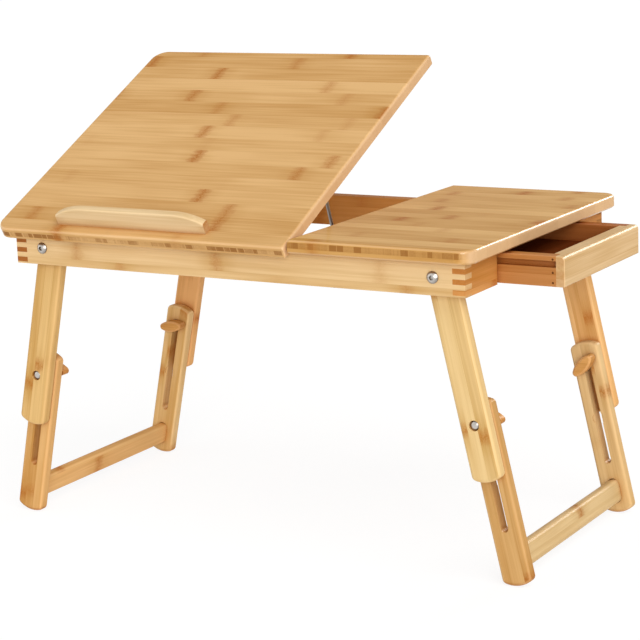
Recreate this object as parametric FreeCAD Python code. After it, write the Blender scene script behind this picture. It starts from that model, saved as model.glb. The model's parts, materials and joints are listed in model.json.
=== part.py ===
"""Folding bamboo laptop stand: a tilting reading panel on the left, a fixed top over a
drawer on the right, and four splayed legs that telescope and fold flat into the frame.

Row frame: +X to the right, +Y to the back, +Z up, millimetres. The floor is z = 0, y = 0 is
halfway between front and back, and x = 0 is halfway between the left foot's reach and the
drawer front. The rest pose has the legs open and drawn out, the panel raised on its wire
prop and the drawer part open. Everything at the front is mirrored to the back.
"""
import FreeCAD, Part
import os
from math import atan2, cos, degrees, hypot, pi, radians, sin, sqrt, tan

from FreeCAD import Vector

os.makedirs("parts", exist_ok=True)

# ---------------------------------------------------------------- driving dimensions
# Top and its two boards
top_length = 500.0
top_depth = 315.0
top_height = 300.5  # floor to the fixed board's upper face, legs drawn out
board_thickness = 12.0
split_from_left = 322.5  # left end of the top to the fixed board's left edge
split_gap = 1.0
corner_radius = 15.5
square_corner_radius = 2.0  # at the split
board_top_arris = 3.0
board_under_arris = 1.5
seat_gap = 0.3  # between the flat panel and the aprons below it

# Apron frame, box-jointed at its corners
apron_height = 30.6
apron_thickness = 12.0
apron_arris = 0.8
end_overhang = 11.8
front_overhang = 14.5
finger_height = 4.6
finger_pitch = 9.2
finger_first = 1.7  # apron's lower edge to its first end-grain finger
finger_count = 3

# Rails under the top
leg_channel = 39.0  # apron's inner face to the rails, where a folded leg lies
runner_width = 10.0  # leg channel to the drawer's opening
rail_height = 14.0
rail_ledge = 10.0  # reach of the middle rail left of the split
rail_width = 22.0
prop_rail_width = 8.0
prop_rail_margin = 10.0  # prop rail beyond its outermost notches
notch_count = 5
notch_pitch = 8.4
notch_radius = 1.8
notch_flare = 1.0  # extra half width of a notch at its mouth

# Legs
leg_splay = 12.6  # degrees from vertical
leg_width = 28.7
leg_thickness = 12.0
leg_arris = 3.5
leg_clearance = 0.3  # side play between apron, upper leg and lower leg
fold_clearance = 0.4  # folded leg below the boards
stop_clearance = 0.3  # open leg to the lower edge of the end apron that stops it
leg_crown_radius = 26.0  # across each end of a leg, and so of the foot
leg_corner_radius = 5.0  # between the crown and the leg's edges
leg_extension = 96.2  # upper leg's lower end to the foot, drawn out
lower_leg_length = 168.0
clamp_from_end = 51.0  # clamping bolt to the upper leg's lower end
slot_width = 7.2
slot_length = 102.0
detent_radius = 6.0
detent_depth = 0.8
detent_spacing = 54.0  # from the drawn-out seat to the middle seat
stretcher_height = 22.0  # along the leg
stretcher_thickness = 12.0
stretcher_radius = 5.0
stretcher_from_foot = 21.9  # foot to the stretcher's centre line
tenon_depth = 8.0
tenon_clearance = 0.1
mortise_end_play = 1.0  # above and below the stretcher

# Bolts, nuts and knobs
bolt_radius = 3.0
bolt_clearance = 0.1
pivot_head_radius = 5.3
pivot_head_height = 3.0
pivot_head_rim = 0.9
socket_across_flats = 4.0
socket_depth = 1.8
clamp_head_radius = 4.4
clamp_head_height = 2.0
clamp_head_rim = 0.4
counterbore_play = 0.4
washer_radius = 6.0
washer_thickness = 1.0
nut_across_flats = 10.0
nut_height = 5.0
knob_length = 26.0
knob_width = 11.5
knob_thickness = 11.0
knob_end_radius = 3.5
knob_arris = 1.8
knob_gap = 0.2
knob_bolt_engagement = 7.0

# Panel hinges
hinge_setback = 12.0  # top's front edge to the hinge pin
hinge_length = 40.0
hinge_inset = 42.0  # panel's ends to the hinges
hinge_knuckles = 5
knuckle_radius = 2.3
knuckle_gap = 0.2
hinge_pin_radius = 1.2
hinge_play = 0.05
leaf_thickness = 1.2
leaf_reach = 13.0
relief_play = 0.4

# Wire prop under the panel
panel_tilt = 26.3  # degrees from flat at rest
prop_wire_radius = 1.5
prop_bend_radius = 4.5
prop_pivot_from_hinge = 91.0
prop_drop = 3.2  # prop's pivot below the panel's underside
prop_toe = 5.5
prop_side_gap = 0.3  # toe's end to the rail beside it
prop_play = 0.08
prop_seat_from_front = 109.4  # top's front edge to the notch in use
prop_seat_drop = 5.0  # toe's centre line below the rails' upper face
clip_radius = 3.0
clip_width = 10.0
clip_flange = 18.0
clip_flange_thickness = 1.0
clip_inset = 34.0

# Ledge that stops a book or laptop
ledge_length = 165.0
ledge_height = 18.5
ledge_end_height = 10.5
ledge_fall = 32.0  # length of the curved fall at each end
ledge_thickness = 8.0
ledge_from_front = 12.0
ledge_from_left = 70.0
ledge_arris = 1.8

# Drawer
drawer_open = 62.5
drawer_play = 0.5  # each side, in the opening
drawer_length = 150.0
drawer_side_thickness = 11.0
drawer_side_height = 26.5
drawer_lift = 1.4  # side's lower edge above the aprons' lower edge
drawer_front_thickness = 14.0
drawer_front_lap = 6.0  # depth of the rebate that takes each side
drawer_front_round = 4.0
drawer_arris = 1.2
drawer_back_thickness = 10.0
drawer_bottom_thickness = 3.6
drawer_bottom_lift = 6.4  # side's lower edge to the bottom panel
drawer_groove_depth = 4.0
runner_tongue_height = 5.4
runner_tongue_reach = 4.0
runner_clearance = 0.3
runner_groove_depth = 4.8
runner_groove_from_top = 4.4
pin_radius = 1.0
pin_length = 17.0
pin_setback = 3.0  # from the side's front end
pin_above_bottom = 2.0  # middle pin above the bottom panel
pin_below_top = 3.0  # upper pin below the side's upper edge

# ---------------------------------------------------------------- derived places
splay = radians(leg_splay)
tilt = radians(panel_tilt)
y_front = -top_depth / 2
z_boards = top_height - board_thickness  # underside of the boards, top of the aprons
z_apron = z_boards - apron_height
y_apron = y_front + front_overhang
y_apron_in = y_apron + apron_thickness
y_channel = y_apron_in + leg_channel

# The pivot height leaves room for the folded leg, and its inset lets the open leg rest
# against the lower inner edge of the end apron.
pivot_z = z_boards - leg_width / 2 - fold_clearance
stop_drop = pivot_z - z_apron
pivot_to_end_apron = (leg_width / 2 + stop_clearance + stop_drop * sin(splay)) / cos(splay)
pivot_from_end = end_overhang + apron_thickness + pivot_to_end_apron

# Along the leg from the pivot: the foot's crown just meets the floor.
foot_reach = leg_crown_radius + (pivot_z - leg_crown_radius) / cos(splay)
upper_leg_reach = foot_reach - leg_extension
clamp_from_pivot = upper_leg_reach - clamp_from_end
lower_leg_top = foot_reach - lower_leg_length

# Corner arcs of a leg's end: their centres across the leg, and back from the end.
corner_inset = leg_width / 2 - leg_corner_radius
corner_setback = leg_crown_radius - sqrt(
    (leg_crown_radius - leg_corner_radius) ** 2 - corner_inset**2
)

# The origin splits the reach from the left foot to the drawer front.
foot_corner = (foot_reach - corner_setback) * sin(splay) + corner_inset * cos(splay)
left_reach = foot_corner + leg_corner_radius - pivot_from_end
right_reach = top_length - end_overhang + drawer_open
x_left = -(right_reach - left_reach) / 2
x_right = x_left + top_length
x_split = x_left + split_from_left
x_end_out = x_right - end_overhang
x_end_in = x_end_out - apron_thickness
x_left_in = x_left + end_overhang + apron_thickness
x_pivot = {"left": x_left + pivot_from_end, "right": x_right - pivot_from_end}

y_upper_leg = y_apron_in + leg_clearance
y_lower_leg = y_upper_leg + leg_thickness + leg_clearance
y_leg_inner = y_lower_leg + leg_thickness
y_knob = y_leg_inner + knob_gap + washer_thickness + knob_gap

y_hinge = y_front + hinge_setback
z_hinge = z_boards + seat_gap / 2
panel_thickness = board_thickness - seat_gap
x_prop = (x_left_in + prop_rail_width, x_split - rail_ledge)  # rail faces beside the prop

y_opening = y_channel + runner_width
y_drawer = y_opening + drawer_play
x_drawer_front = x_end_out + drawer_open
x_drawer_back = x_drawer_front - drawer_length
z_drawer = z_apron + drawer_lift
z_drawer_top = z_drawer + drawer_side_height
z_groove_top = z_drawer_top - runner_groove_from_top
z_tongue = z_groove_top - runner_clearance / 2 - runner_tongue_height


# ---------------------------------------------------------------- geometry helpers
def box(x0, x1, y0, y1, z0, z1):
    return Part.makeBox(x1 - x0, y1 - y0, z1 - z0, Vector(x0, y0, z0))


def rod(start, direction, length, radius):
    return Part.makeCylinder(radius, length, Vector(*start), Vector(*direction))


def rounded_loop(points, radii):
    """Closed wire through the corner points, each rounded by its own radius."""
    corners = []
    for i, (x, y, z) in enumerate(points):
        p = Vector(x, y, z)
        to_last = (Vector(*points[i - 1]) - p).normalize()
        to_next = (Vector(*points[(i + 1) % len(points)]) - p).normalize()
        half = to_last.getAngle(to_next) / 2
        reach = radii[i] / tan(half)
        middle = p + (to_last + to_next).normalize() * (radii[i] / sin(half) - radii[i])
        corners.append((p + to_last * reach, middle, p + to_next * reach))
    edges = []
    for i, (start, middle, end) in enumerate(corners):
        if radii[i] > 0:
            edges.append(Part.Arc(start, middle, end).toShape())
        following = corners[(i + 1) % len(corners)][0]
        if (following - end).Length > 1e-6:
            edges.append(Part.makeLine(end, following))
    return Part.Wire(Part.__sortEdges__(edges))


def plate(points, radii, thickness_vector):
    return Part.Face(rounded_loop(points, radii)).extrude(Vector(*thickness_vector))


def edges_in_plane(shape, axis, value):
    """Edges that lie wholly in the plane where the given coordinate has the value."""
    low, high = axis + "Min", axis + "Max"
    return [
        e
        for e in shape.Edges
        if abs(getattr(e.BoundBox, low) - value) < 1e-3
        and abs(getattr(e.BoundBox, high) - value) < 1e-3
    ]


def straight_edges(shape, axis):
    """Straight edges that run along one axis."""
    want = {"X": Vector(1, 0, 0), "Y": Vector(0, 1, 0), "Z": Vector(0, 0, 1)}[axis]
    lines = [e for e in shape.Edges if isinstance(e.Curve, Part.Line)]
    return [e for e in lines if abs(e.tangentAt(e.FirstParameter).dot(want)) > 1 - 1e-6]


def mirrored(shape):
    """The back's copy of a piece that is drawn at the front."""
    return shape.mirror(Vector(0, 0, 0), Vector(0, 1, 0))


def domed_disc(radius, height, rim):
    """Button or dome head with its flat on y = 0 and its crown at y = -height."""
    rise = height - rim
    mid_x, mid_y = dome_midpoint(radius, rise)
    profile = Part.Wire(
        [
            Part.makeLine(Vector(0, 0, 0), Vector(radius, 0, 0)),
            Part.makeLine(Vector(radius, 0, 0), Vector(radius, -rim, 0)),
            Part.Arc(
                Vector(radius, -rim, 0), Vector(mid_x, -rim - mid_y, 0), Vector(0, -height, 0)
            ).toShape(),
            Part.makeLine(Vector(0, -height, 0), Vector(0, 0, 0)),
        ]
    )
    return Part.Face(profile).revolve(Vector(0, 0, 0), Vector(0, 1, 0), 360)


def dome_midpoint(radius, rise):
    """Halfway point of the arc from the rim to the crown of a spherical cap."""
    sphere = (radius**2 + rise**2) / (2 * rise)
    half = atan2(radius, sphere - rise) / 2
    return sphere * sin(half), rise - sphere * (1 - cos(half))


def hex_prism(across_flats, y0, y1):
    corner = across_flats / 2 / cos(pi / 6)
    points = [
        Vector(corner * cos(k * pi / 3), y0, corner * sin(k * pi / 3)) for k in range(7)
    ]
    return Part.Face(Part.makePolygon(points)).extrude(Vector(0, y1 - y0, 0))


# ---------------------------------------------------------------- frame
def long_apron():
    """Front apron, with notches at both ends for the end aprons' fingers."""
    apron = box(x_left + end_overhang, x_end_out, y_apron, y_apron_in, z_apron, z_boards)
    for finger in fingers(x_left + end_overhang) + fingers(x_end_in):
        apron = apron.cut(finger)
    for x in x_pivot.values():
        start = (x, y_apron, pivot_z)
        apron = apron.cut(rod(start, (0, 1, 0), apron_thickness, bolt_radius + bolt_clearance))
    lower = [e for e in edges_in_plane(apron, "Z", z_apron) if e.Length > top_length / 2]
    return apron.makeFillet(apron_arris, lower)


def fingers(x0):
    """End-grain fingers of one end apron where they pass through the front apron."""
    return [
        box(
            x0,
            x0 + apron_thickness,
            y_apron,
            y_apron_in,
            z_apron + finger_first + k * finger_pitch,
            z_apron + finger_first + k * finger_pitch + finger_height,
        )
        for k in range(finger_count)
    ]


def front_apron():
    apron = long_apron()
    for x0 in hinge_places():
        apron = apron.cut(
            box(
                x0,
                x0 + hinge_length,
                y_apron,
                y_hinge + leaf_reach,
                z_boards - leaf_thickness,
                z_boards,
            )
        )
    return apron


def end_apron(x0, y_end):
    """End apron or end block from its front fingers to y_end."""
    body = box(x0, x0 + apron_thickness, y_apron_in, y_end, z_apron, z_boards)
    return body.multiFuse(fingers(x0)).removeSplitter()


def left_apron():
    x0 = x_left + end_overhang
    half = end_apron(x0, 0.0)
    return half.fuse(mirrored(half)).removeSplitter()


def end_block():
    """Right end apron's part in front of the drawer opening."""
    block = end_apron(x_end_in, y_opening)
    corner = [
        e
        for e in straight_edges(block, "Z")
        if abs(e.BoundBox.XMax - x_end_out) < 1e-3 and abs(e.BoundBox.YMax - y_opening) < 1e-3
    ]
    return block.makeFillet(apron_arris, corner)


def rounded_board(x0, x1, thickness, z0, outer_end):
    """Board with two large corners on its outer end, rounded above and bevelled below."""
    y0, y1 = y_front, y_front + top_depth
    big, small = corner_radius, square_corner_radius
    radii = (big, small, small, big) if outer_end == "left" else (small, big, big, small)
    board = plate([(x0, y0, z0), (x1, y0, z0), (x1, y1, z0), (x0, y1, z0)], radii, (0, 0, thickness))
    board = board.makeFillet(board_top_arris, edges_in_plane(board, "Z", z0 + thickness))
    return board.makeChamfer(board_under_arris, edges_in_plane(board, "Z", z0))


def fixed_top():
    return rounded_board(x_split, x_right, board_thickness, z_boards, "right")


def notch_places():
    return [y_front + prop_seat_from_front + k * notch_pitch for k in range(notch_count)]


def notch_cutter(x0, x1, y):
    """U-shaped notch with a flared mouth, cut down from the rail's upper face."""
    z0 = z_boards - prop_seat_drop
    throat = rod((x0, y, z0), (1, 0, 0), x1 - x0, notch_radius)
    wide = notch_radius + notch_flare
    mouth = Part.makePolygon(
        [
            Vector(x0, y - notch_radius, z0),
            Vector(x0, y + notch_radius, z0),
            Vector(x0, y + wide, z_boards),
            Vector(x0, y - wide, z_boards),
            Vector(x0, y - notch_radius, z0),
        ]
    )
    return throat.fuse(Part.Face(mouth).extrude(Vector(x1 - x0, 0, 0)))


def middle_rail():
    """Rail under the split; its ledge carries the flat panel and has the prop's notches."""
    x0 = x_split - rail_ledge
    rail = box(x0, x0 + rail_width, y_channel, -y_channel, z_boards - rail_height, z_boards)
    for y in notch_places():
        rail = rail.cut(notch_cutter(x0, x_split, y))
    return rail


def prop_rail():
    """Notched rail on the left apron, opposite the middle rail's ledge."""
    places = notch_places()
    y0 = places[0] - prop_rail_margin
    y1 = places[-1] + prop_rail_margin
    rail = box(x_left_in, x_left_in + prop_rail_width, y0, y1, z_boards - rail_height, z_boards)
    for y in places:
        rail = rail.cut(notch_cutter(x_left_in, x_left_in + prop_rail_width, y))
    return rail


def drawer_runner():
    """Batten under the fixed top, from the middle rail to the end block, between the leg
    channel and the drawer opening, with the tongue that carries one drawer side."""
    x0 = x_split - rail_ledge + rail_width
    points = [
        (x0, y_channel, z_tongue),
        (x0, y_drawer + runner_tongue_reach, z_tongue),
        (x0, y_drawer + runner_tongue_reach, z_tongue + runner_tongue_height),
        (x0, y_opening, z_tongue + runner_tongue_height),
        (x0, y_opening, z_boards),
        (x0, y_channel, z_boards),
    ]
    return plate(points, [0] * len(points), (x_end_in - x0, 0, 0))


# ---------------------------------------------------------------- hardware
def pivot_bolt(side):
    """Socket button-head bolt through the apron and the upper leg."""
    end = y_upper_leg + leg_thickness + washer_thickness + nut_height
    head = domed_disc(pivot_head_radius, pivot_head_height, pivot_head_rim)
    head = head.cut(hex_prism(socket_across_flats, -pivot_head_height, socket_depth - pivot_head_height))
    shank = rod((0, 0, 0), (0, 1, 0), end - y_apron, bolt_radius)
    bolt = head.fuse(shank).removeSplitter()
    bolt.translate(Vector(x_pivot[side], y_apron, pivot_z))
    return bolt


def washer(x, y, z):
    ring = rod((x, y, z), (0, 1, 0), washer_thickness, washer_radius)
    return ring.cut(rod((x, y, z), (0, 1, 0), washer_thickness, bolt_radius + bolt_clearance))


def pivot_washer(side):
    return washer(x_pivot[side], y_upper_leg + leg_thickness, pivot_z)


def pivot_nut(side):
    y0 = y_upper_leg + leg_thickness + washer_thickness
    nut = hex_prism(nut_across_flats, 0, nut_height)
    nut = nut.cut(rod((0, 0, 0), (0, 1, 0), nut_height, bolt_radius))
    nut.translate(Vector(x_pivot[side], y0, pivot_z))
    return nut


def clamp_bolt():
    """Dome-head bolt at the clamp, in the leg's own upright frame with the pivot at 0."""
    y_seat = y_upper_leg + clamp_head_height + counterbore_play
    head = domed_disc(clamp_head_radius, clamp_head_height, clamp_head_rim)
    shank = rod((0, 0, 0), (0, 1, 0), y_knob + knob_bolt_engagement - y_seat, bolt_radius)
    bolt = head.fuse(shank).removeSplitter()
    bolt.translate(Vector(0, y_seat, -clamp_from_pivot))
    return bolt


# ---------------------------------------------------------------- legs
def on_leg(shape, side):
    """Place a piece drawn on an upright leg whose pivot is at the origin."""
    turn = leg_splay if side == "left" else -leg_splay
    shape.rotate(Vector(0, 0, 0), Vector(0, 1, 0), turn)
    shape.translate(Vector(x_pivot[side], 0, pivot_z))
    return shape


def crowned_end(y, z_end, outward):
    """Crowned end of a leg between its two edges; outward is 1 at the top, -1 at the foot."""
    z_crown = z_end - outward * leg_crown_radius
    z_corner = z_end - outward * corner_setback
    joint = atan2(corner_inset, abs(z_corner - z_crown))
    middle = (joint + pi / 2) / 2
    joint_point = Vector(
        leg_crown_radius * sin(joint), y, z_crown + outward * leg_crown_radius * cos(joint)
    )
    middle_point = Vector(
        corner_inset + leg_corner_radius * sin(middle),
        y,
        z_corner + outward * leg_corner_radius * cos(middle),
    )
    right = Part.Arc(Vector(leg_width / 2, y, z_corner), middle_point, joint_point).toShape()
    left = right.mirror(Vector(0, 0, 0), Vector(1, 0, 0))
    crown = Part.Arc(joint_point, Vector(0, y, z_end), Vector(-joint_point.x, y, joint_point.z))
    return [right, crown.toShape(), left]


def round_end(y, z_end):
    """Half-round top of an upper leg."""
    half = leg_width / 2
    z = z_end - half
    return [Part.Arc(Vector(half, y, z), Vector(0, y, z_end), Vector(-half, y, z)).toShape()]


def leg_board(y0, top, foot):
    """Upright leg board between its two ends' edges, softened along every arris."""
    z_top = min(e.BoundBox.ZMin for e in top)
    z_foot = max(e.BoundBox.ZMax for e in foot)
    sides = [
        Part.makeLine(Vector(x, y0, z_foot), Vector(x, y0, z_top))
        for x in (-leg_width / 2, leg_width / 2)
    ]
    outline = Part.Wire(Part.__sortEdges__(top + sides + foot))
    board = Part.Face(outline).extrude(Vector(0, leg_thickness, 0))
    rims = edges_in_plane(board, "Y", y0) + edges_in_plane(board, "Y", y0 + leg_thickness)
    return board.makeFillet(leg_arris, rims)


def upper_leg():
    top = round_end(y_upper_leg, leg_width / 2)
    leg = leg_board(y_upper_leg, top, crowned_end(y_upper_leg, -upper_leg_reach, -1))
    for z in (0, -clamp_from_pivot):
        leg = leg.cut(rod((0, y_upper_leg, z), (0, 1, 0), leg_thickness, bolt_radius + bolt_clearance))
    sink = rod(
        (0, y_upper_leg, -clamp_from_pivot),
        (0, 1, 0),
        clamp_head_height + counterbore_play,
        clamp_head_radius + counterbore_play,
    )
    return leg.cut(sink)


def slot_cutter():
    """Stadium slot whose upper end is round the clamping bolt when the leg is drawn out."""
    half = slot_width / 2
    z1 = -clamp_from_pivot + half
    z0 = z1 - slot_length
    y0 = y_lower_leg
    points = [(-half, y0, z0), (half, y0, z0), (half, y0, z1), (-half, y0, z1)]
    return plate(points, [half] * 4, (0, leg_thickness, 0))


def stretcher_bar(y0, y1, radius, side_play, end_play):
    """Rounded bar between a front and a back leg, or the mortise for its end."""
    half = stretcher_thickness / 2 + side_play
    z_mid = -(foot_reach - stretcher_from_foot)
    z0 = z_mid - stretcher_height / 2 - end_play
    z1 = z_mid + stretcher_height / 2 + end_play
    points = [(-half, y0, z0), (half, y0, z0), (half, y0, z1), (-half, y0, z1)]
    return plate(points, [radius] * 4, (0, y1 - y0, 0))


def mortise():
    """Routed with a full-round cutter, so it stands clear of the stretcher at its ends."""
    y0 = y_leg_inner - tenon_depth
    cutter_radius = stretcher_thickness / 2 + tenon_clearance
    return stretcher_bar(y0, y_leg_inner, cutter_radius, tenon_clearance, mortise_end_play)


def lower_leg():
    top = crowned_end(y_lower_leg, -lower_leg_top, 1)
    leg = leg_board(y_lower_leg, top, crowned_end(y_lower_leg, -foot_reach, -1))
    leg = leg.cut(slot_cutter())
    for spacing in (0, detent_spacing):
        seat = rod(
            (0, y_leg_inner - detent_depth, -clamp_from_pivot - spacing),
            (0, 1, 0),
            detent_depth,
            detent_radius,
        )
        leg = leg.cut(seat)
    return leg.cut(mortise())


def stretcher():
    y0 = y_leg_inner - tenon_depth + tenon_clearance
    return stretcher_bar(y0, -y0, stretcher_radius, 0, 0)


def clamp_washer():
    return washer(0, y_leg_inner + knob_gap, -clamp_from_pivot)


def oval(length, width, end_radius):
    """Oval of four tangent arcs about the origin, long along X."""
    end_x = length / 2 - end_radius
    side_radius = (end_x**2 + width**2 / 4 - end_radius**2) / (width - 2 * end_radius)
    turn = atan2(side_radius - width / 2, end_x)
    x = end_x + end_radius * cos(turn)
    y = end_radius * sin(turn)
    arcs = []
    for sign in (1, -1):
        end = Part.Arc(
            Vector(sign * x, -y, 0), Vector(sign * length / 2, 0, 0), Vector(sign * x, y, 0)
        )
        side = Part.Arc(
            Vector(-x, sign * y, 0), Vector(0, sign * width / 2, 0), Vector(x, sign * y, 0)
        )
        arcs += [end.toShape(), side.toShape()]
    return Part.Wire(Part.__sortEdges__(arcs))


def knob():
    """Oval wooden knob, drilled blind for the end of the clamping bolt."""
    outline = oval(knob_length, knob_width, knob_end_radius)
    body = Part.Face(outline).extrude(Vector(0, 0, knob_thickness))
    body = body.makeChamfer(knob_arris, edges_in_plane(body, "Z", knob_thickness))
    body = body.cut(
        rod((0, 0, 0), (0, 0, 1), knob_bolt_engagement + knob_gap, bolt_radius + bolt_clearance)
    )
    body.rotate(Vector(0, 0, 0), Vector(1, 0, 0), -90)
    return body


def placed_knob(side, turn):
    """Knob on its leg; turn is how far its long axis is turned from the floor's line."""
    body = knob()
    body.rotate(Vector(0, 0, 0), Vector(0, 1, 0), turn - (leg_splay if side == "left" else -leg_splay))
    body.translate(Vector(0, y_knob, -clamp_from_pivot))
    return on_leg(body, side)


# ---------------------------------------------------------------- hinges and panel
def raised(shape):
    """Turn a piece drawn on the flat panel up to its rest angle about the hinge pin."""
    shape.rotate(Vector(0, y_hinge, z_hinge), Vector(1, 0, 0), panel_tilt)
    return shape


def hinge_places():
    right = x_split - split_gap - hinge_inset - hinge_length
    return (x_left + hinge_inset, right)


def knuckle_spans(x0, owner):
    """Lengths of the pin that the frame's leaf (even) or the panel's leaf (odd) wraps."""
    pitch = hinge_length / hinge_knuckles
    first = 0 if owner == "frame" else 1
    return [
        (x0 + k * pitch + knuckle_gap / 2, x0 + (k + 1) * pitch - knuckle_gap / 2)
        for k in range(first, hinge_knuckles, 2)
    ]


def hinge_leaf(x0, owner):
    """Leaf let flush into the wood, with its knuckles rolled round the pin."""
    bore = hinge_pin_radius if owner == "frame" else hinge_pin_radius + hinge_play
    z0 = z_boards - leaf_thickness if owner == "frame" else z_boards + seat_gap
    y_flat = y_hinge + knuckle_radius + knuckle_gap
    leaf = box(x0, x0 + hinge_length, y_flat, y_hinge + leaf_reach, z0, z0 + leaf_thickness)
    for a, b in knuckle_spans(x0, owner):
        barrel = rod((a, y_hinge, z_hinge), (1, 0, 0), b - a, knuckle_radius)
        leaf = leaf.fuse(barrel).fuse(box(a, b, y_hinge, y_flat, z0, z0 + leaf_thickness))
    return leaf.cut(rod((x0, y_hinge, z_hinge), (1, 0, 0), hinge_length, bore)).removeSplitter()


def hinge_pin(x0):
    return rod((x0, y_hinge, z_hinge), (1, 0, 0), hinge_length, hinge_pin_radius)


def tilting_top():
    z0 = z_boards + seat_gap
    board = rounded_board(x_left, x_split - split_gap, panel_thickness, z0, "left")
    for x0 in hinge_places():
        recess = box(x0, x0 + hinge_length, y_hinge, y_hinge + leaf_reach, z0, z0 + leaf_thickness)
        relief = rod(
            (x0 - relief_play, y_hinge, z_hinge),
            (1, 0, 0),
            hinge_length + 2 * relief_play,
            knuckle_radius + relief_play,
        )
        board = board.cut(recess).cut(relief)
    return raised(board)


def book_ledge():
    """Low bar near the panel's front edge whose top falls in a curve to each end."""
    x0 = x_left + ledge_from_left
    x1 = x0 + ledge_length
    y0 = y_front + ledge_from_front
    z0 = z_boards + seat_gap + panel_thickness
    z_top, z_end = z0 + ledge_height, z0 + ledge_end_height
    arc_x, arc_z = fall_midpoint()
    edges = [
        Part.makeLine(Vector(x0, y0, z0), Vector(x1, y0, z0)),
        Part.makeLine(Vector(x1, y0, z0), Vector(x1, y0, z_end)),
        Part.Arc(
            Vector(x1, y0, z_end),
            Vector(x1 - ledge_fall + arc_x, y0, z_top - arc_z),
            Vector(x1 - ledge_fall, y0, z_top),
        ).toShape(),
        Part.makeLine(Vector(x1 - ledge_fall, y0, z_top), Vector(x0 + ledge_fall, y0, z_top)),
        Part.Arc(
            Vector(x0 + ledge_fall, y0, z_top),
            Vector(x0 + ledge_fall - arc_x, y0, z_top - arc_z),
            Vector(x0, y0, z_end),
        ).toShape(),
        Part.makeLine(Vector(x0, y0, z_end), Vector(x0, y0, z0)),
    ]
    bar = Part.Face(Part.Wire(edges)).extrude(Vector(0, ledge_thickness, 0))
    rims = edges_in_plane(bar, "Y", y0) + edges_in_plane(bar, "Y", y0 + ledge_thickness)
    rims = [e for e in rims if e.BoundBox.ZMin > z0 + 1e-3]
    return raised(bar.makeFillet(ledge_arris, rims))


def fall_midpoint():
    """Halfway point of the ledge's end curve, an arc tangent to its flat top."""
    drop = ledge_height - ledge_end_height
    radius = (ledge_fall**2 + drop**2) / (2 * drop)
    half = atan2(ledge_fall, radius - drop) / 2
    return radius * sin(half), radius * (1 - cos(half))


# ---------------------------------------------------------------- wire prop
def panel_point(s, h):
    """(y, z) of a point s along the raised panel from the hinge and h above its underside."""
    rise = h + seat_gap / 2
    return (
        y_hinge + s * cos(tilt) - rise * sin(tilt),
        z_hinge + s * sin(tilt) + rise * cos(tilt),
    )


def prop_line():
    """Pivot and toe of the prop at rest, with its length and its angle from vertical."""
    y_pivot, z_pivot = panel_point(prop_pivot_from_hinge, -prop_drop)
    y_toe = y_front + prop_seat_from_front
    z_toe = z_boards - prop_seat_drop
    dy, dz = y_toe - y_pivot, z_pivot - z_toe
    return y_pivot, z_pivot, hypot(dy, dz), degrees(atan2(dy, dz))


def wire_prop():
    """Bail bent from one wire: a cross bar in the clips, two legs and two outward toes."""
    y_pivot, z_pivot, length, lean = prop_line()
    x0 = x_prop[0] + prop_side_gap + prop_toe
    x1 = x_prop[1] - prop_side_gap - prop_toe
    route = [
        Vector(x0 - prop_toe, 0, -length),
        Vector(x0, 0, -length),
        Vector(x0, 0, 0),
        Vector(x1, 0, 0),
        Vector(x1, 0, -length),
        Vector(x1 + prop_toe, 0, -length),
    ]
    toe_bend = prop_toe - 1.5 * prop_wire_radius
    radii = [0, toe_bend, prop_bend_radius, prop_bend_radius, toe_bend, 0]
    spine = open_path(route, radii)
    section = Part.Wire([Part.makeCircle(prop_wire_radius, route[0], Vector(1, 0, 0))])
    wire = spine.makePipeShell([section], True, True)
    wire.rotate(Vector(0, 0, 0), Vector(1, 0, 0), lean)
    wire.translate(Vector(0, y_pivot, z_pivot))
    return wire


def open_path(route, radii):
    """Straight runs joined by tangent arcs at the inner points of the route."""
    edges = []
    start = route[0]
    for i in range(1, len(route) - 1):
        p = route[i]
        back = (route[i - 1] - p).normalize()
        ahead = (route[i + 1] - p).normalize()
        half = back.getAngle(ahead) / 2
        reach = radii[i] / tan(half)
        middle = p + (back + ahead).normalize() * (radii[i] / sin(half) - radii[i])
        edges.append(Part.makeLine(start, p + back * reach))
        edges.append(Part.Arc(p + back * reach, middle, p + ahead * reach).toShape())
        start = p + ahead * reach
    edges.append(Part.makeLine(start, route[-1]))
    return Part.Wire(edges)


def prop_clip(x_mid):
    """Saddle clip under the panel round the prop's cross bar."""
    y0 = y_hinge + prop_pivot_from_hinge
    z_under = z_boards + seat_gap
    z0 = z_under - prop_drop
    x0, x1 = x_mid - clip_width / 2, x_mid + clip_width / 2
    flange = box(
        x0,
        x1,
        y0 - clip_flange / 2,
        y0 + clip_flange / 2,
        z_under - clip_flange_thickness,
        z_under,
    )
    saddle = rod((x0, y0, z0), (1, 0, 0), clip_width, clip_radius)
    neck = box(x0, x1, y0 - clip_radius, y0 + clip_radius, z0, z_under)
    clip = flange.fuse(saddle).fuse(neck)
    clip = clip.cut(rod((x0, y0, z0), (1, 0, 0), clip_width, prop_wire_radius + prop_play))
    return raised(clip.removeSplitter())


# ---------------------------------------------------------------- drawer
def drawer_side():
    """Side with the runner's groove outside and the bottom's groove inside."""
    x1 = x_drawer_front - drawer_front_thickness + drawer_front_lap
    y1 = y_drawer + drawer_side_thickness
    side = box(x_drawer_back, x1, y_drawer, y1, z_drawer, z_drawer_top)
    side = side.makeFillet(
        drawer_arris,
        [e for e in straight_edges(side, "X") if e.BoundBox.ZMin > z_drawer + 1e-3],
    )
    groove_height = runner_tongue_height + runner_clearance
    side = side.cut(
        box(
            x_drawer_back,
            x1,
            y_drawer,
            y_drawer + runner_groove_depth,
            z_groove_top - groove_height,
            z_groove_top,
        )
    )
    side = side.cut(bottom_panel(0))
    for pin in side_pins():
        side = side.cut(pin)
    return side


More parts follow.
